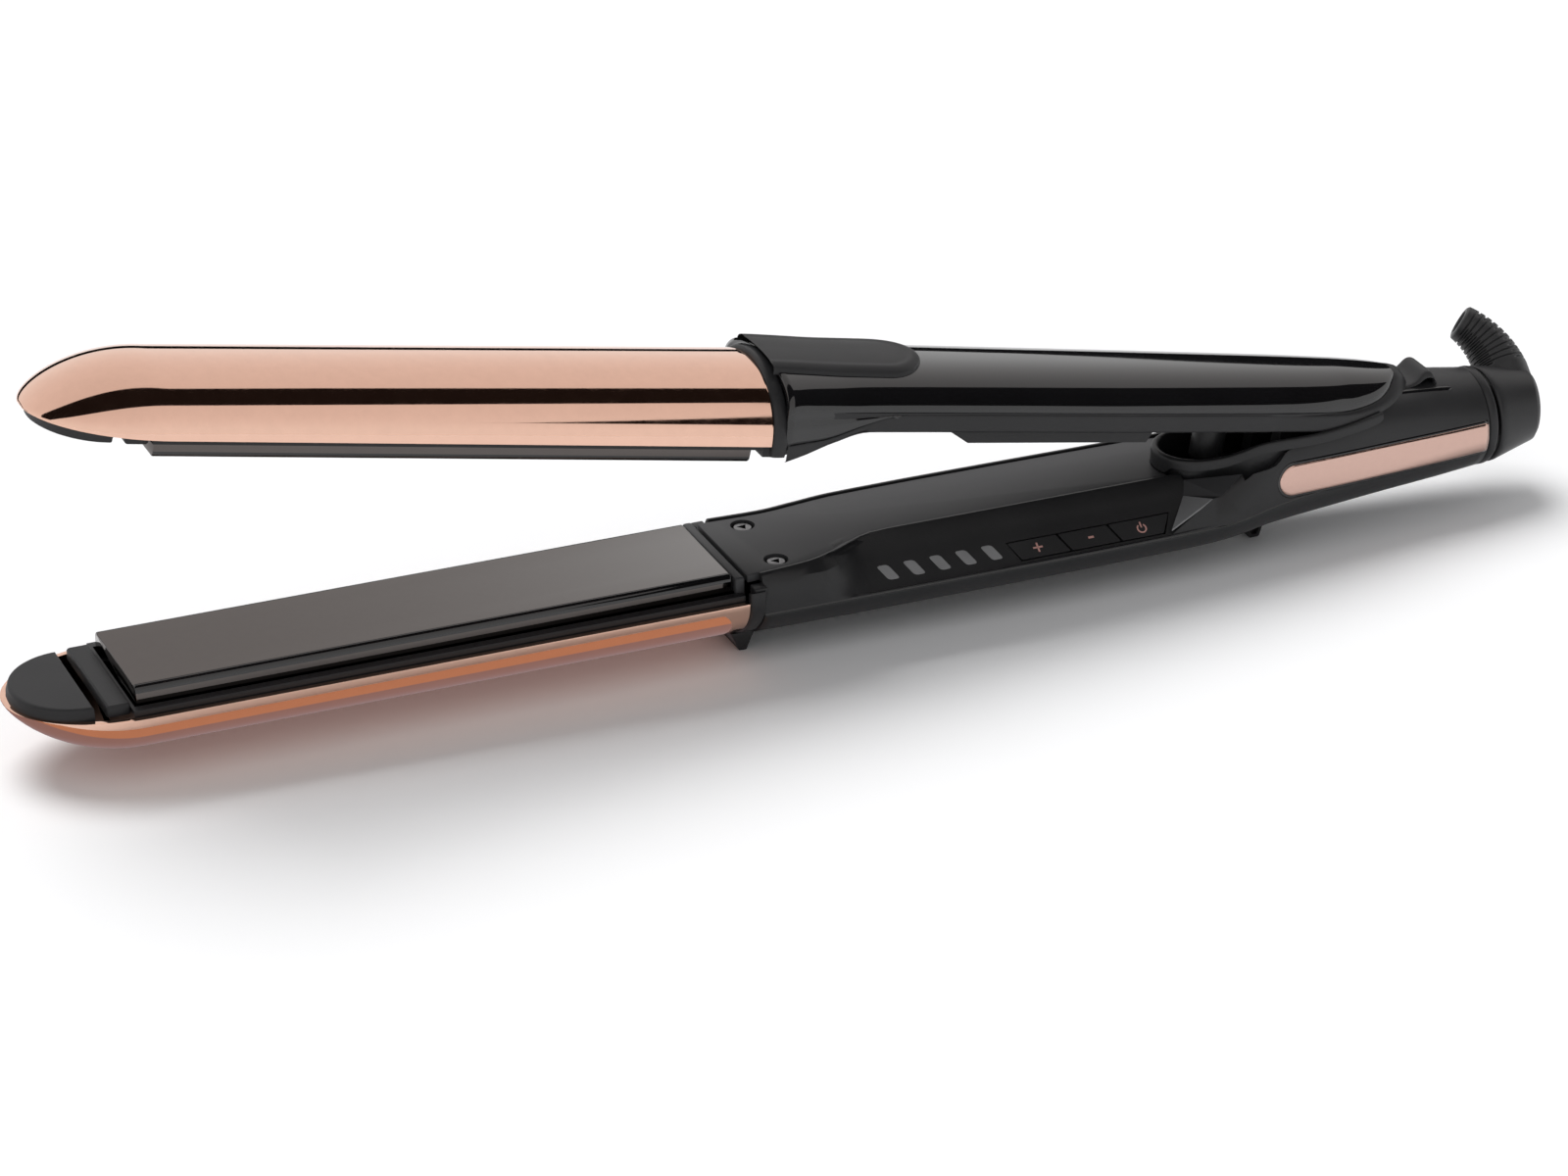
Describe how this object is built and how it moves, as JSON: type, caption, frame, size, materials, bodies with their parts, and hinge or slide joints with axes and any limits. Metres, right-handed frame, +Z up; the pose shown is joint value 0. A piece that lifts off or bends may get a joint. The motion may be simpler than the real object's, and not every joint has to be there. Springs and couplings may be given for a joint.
{
  "type": "flat iron",
  "caption": "Hair straightener with two hinged arms, floating heating plates, a slide lock, touch keys, feet under the lower arm and a swivelling cord entry.",
  "frame": {"origin": "centre of the front foot's underside, on the surface that the lower arm stands on", "axes": "+X along the lower arm from the plates towards the cord end, +Y across the arm, away from the keys, +Z up, square to the lower plate"},
  "size_m": [0.3016, 0.0327, 0.0734],
  "materials": {
    "rose_gold": "vacuum metallised, mirror rose gold",
    "gloss_black": "high gloss black",
    "matte_black": "fine moulded texture, satin black",
    "soft_black": "soft-touch matte black",
    "cover_grey": "smooth satin charcoal",
    "plate": "coated, polished dark grey",
    "key_black": "satin black with printed symbols",
    "window": "frosted grey",
    "carrier_black": "heat-resistant black",
    "steel": "plain steel",
    "spring_steel": "spring steel",
    "bronze": "sintered bronze",
    "copper": "copper contact",
    "heater_ceramic": "fired ceramic",
    "silicone": "silicone rubber",
    "board": "glass epoxy board",
    "relief_black": "flexible satin black"
  },
  "bodies": {
    "base": {"lower_bottom_casing": "matte_black", "lower_top_casing": "matte_black", "inner_cover": "cover_grey", "cover_screws": "steel", "status_windows": "window", "control_board": "board", "tact_switches": "steel", "lower_shell": "rose_gold", "lower_carrier": "carrier_black", "lower_collar": "matte_black", "lower_tip_pad": "soft_black", "lower_cushions": "silicone", "side_inlays": "rose_gold", "hinge_pin": "steel", "opening_spring": "spring_steel", "rear_ring": "matte_black", "swivel_bearing": "bronze", "swivel_brushes": "copper"},
    "lower_plate_unit": {"lower_plate": "plate", "lower_heater": "heater_ceramic", "lower_heater_clip": "spring_steel", "lower_thermal_fuse": "steel"},
    "upper_arm": {"upper_shell": "rose_gold", "upper_carrier": "carrier_black", "upper_collar": "matte_black", "upper_tip_pad": "soft_black", "upper_handle_shell": "gloss_black", "upper_frame": "matte_black", "upper_frame_screws": "steel", "thumb_grip": "soft_black", "spring_post": "matte_black", "hinge_bushes": "bronze", "upper_cushions": "silicone"},
    "upper_plate_unit": {"upper_plate": "plate", "upper_heater": "heater_ceramic", "upper_heater_clip": "spring_steel", "upper_thermal_fuse": "steel"},
    "lock": {"lock_slider": "matte_black"},
    "cord_swivel": {"swivel_cap": "matte_black", "swivel_spindle": "carrier_black", "slip_rings": "copper", "strain_relief": "relief_black"},
    "plus_key": {"plus_button": "key_black"},
    "minus_key": {"minus_button": "key_black"},
    "power_key": {"power_button": "key_black"}
  },
  "joints": [
    {"name": "arm_hinge", "type": "hinge", "parent": "base", "child": "upper_arm", "pos_m": [0.11, 0, 0.0104], "axis": [0, -1, 0], "range_deg": [0, 10.76], "stiffness_Nm_per_rad": 0.8, "springref_deg": -40.11, "deforming": ["opening_spring"]},
    {"name": "lower_plate_float", "type": "slide", "parent": "base", "child": "lower_plate_unit", "axis": [0, 0, -1], "range_m": [0, 0.0008], "stiffness_N_per_m": 2500, "springref_m": -0.0008, "deforming": ["lower_cushions"]},
    {"name": "upper_plate_float", "type": "slide", "parent": "upper_arm", "child": "upper_plate_unit", "axis": [0.1874, 0, 0.9823], "range_m": [0, 0.0008], "stiffness_N_per_m": 2500, "springref_m": -0.0008, "deforming": ["upper_cushions"]},
    {"name": "lock_slide", "type": "slide", "parent": "base", "child": "lock", "axis": [-1, 0, 0], "range_m": [0, 0.0036]},
    {"name": "swivel_turn", "type": "hinge", "parent": "base", "child": "cord_swivel", "pos_m": [0.1517, 0, 0.0157], "axis": [1, 0, 0], "continuous": true},
    {"name": "plus_press", "type": "slide", "parent": "base", "child": "plus_key", "axis": [0, 0.5921, -0.8059], "range_m": [0, 0.0004], "stiffness_N_per_m": 400, "springref_m": -0.0005},
    {"name": "minus_press", "type": "slide", "parent": "base", "child": "minus_key", "axis": [0, 0.5921, -0.8059], "range_m": [0, 0.0004], "stiffness_N_per_m": 400, "springref_m": -0.0005},
    {"name": "power_press", "type": "slide", "parent": "base", "child": "power_key", "axis": [0, 0.5921, -0.8059], "range_m": [0, 0.0004], "stiffness_N_per_m": 400, "springref_m": -0.0005}
  ]
}
